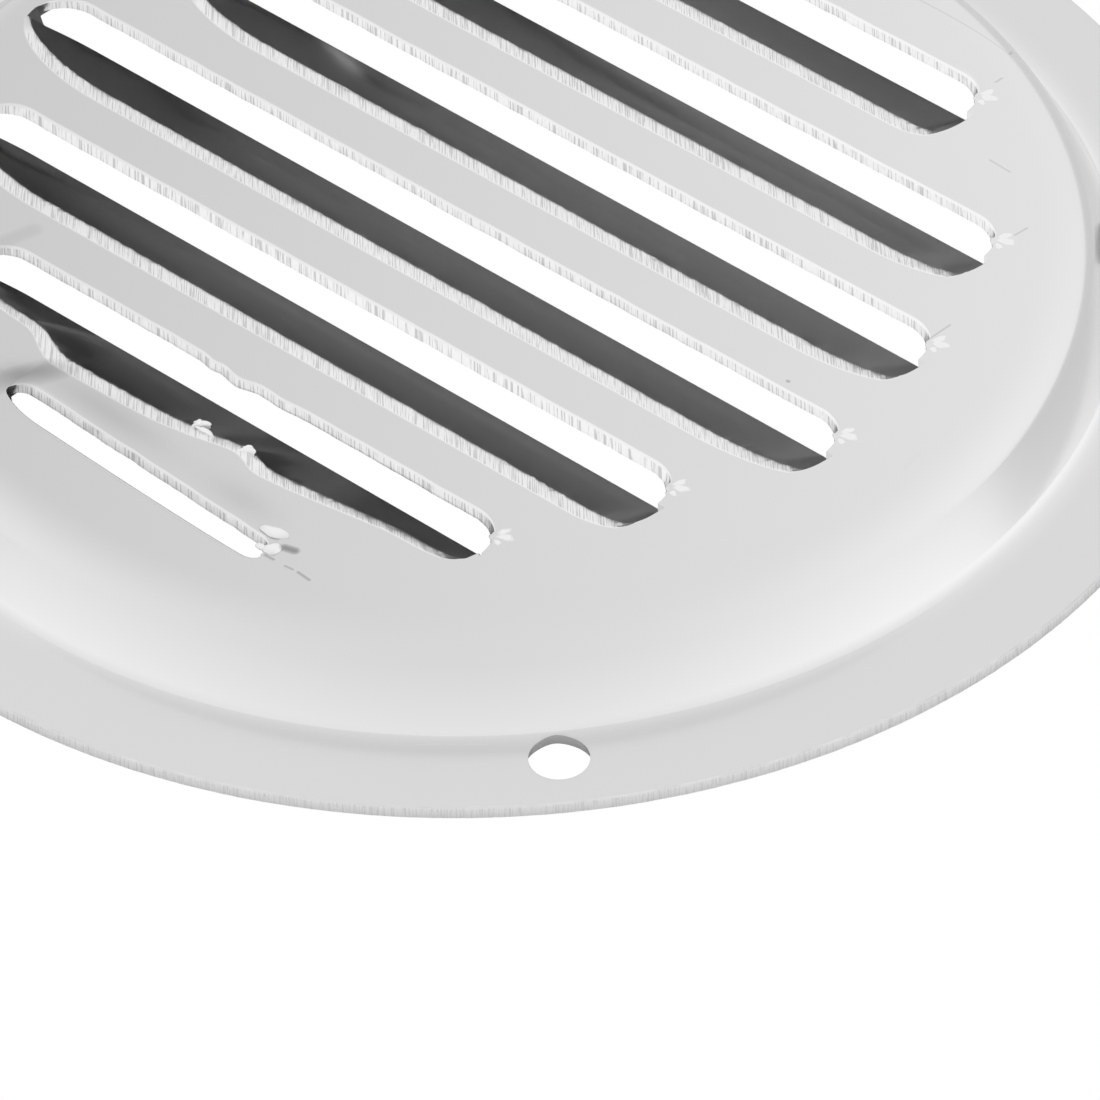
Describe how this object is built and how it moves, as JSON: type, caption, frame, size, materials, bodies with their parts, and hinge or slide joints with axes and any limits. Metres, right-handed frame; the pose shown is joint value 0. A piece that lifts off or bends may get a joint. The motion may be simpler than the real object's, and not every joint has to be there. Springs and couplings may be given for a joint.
{
  "type": "round vent cover",
  "caption": "Round pressed sheet-metal vent cover with a flat screw flange, a raised dish and parallel hooded louvre slots.",
  "frame": {"origin": "centre of the flange's back face", "axes": "+Z out of the wall towards the room, +X along the slots, +Y towards the open side of the louvre hoods"},
  "size_m": [0.102, 0.102, 0.007],
  "materials": {
    "steel": "satin"
  },
  "bodies": {
    "root": {"vent_cover": "steel"}
  },
  "joints": []
}
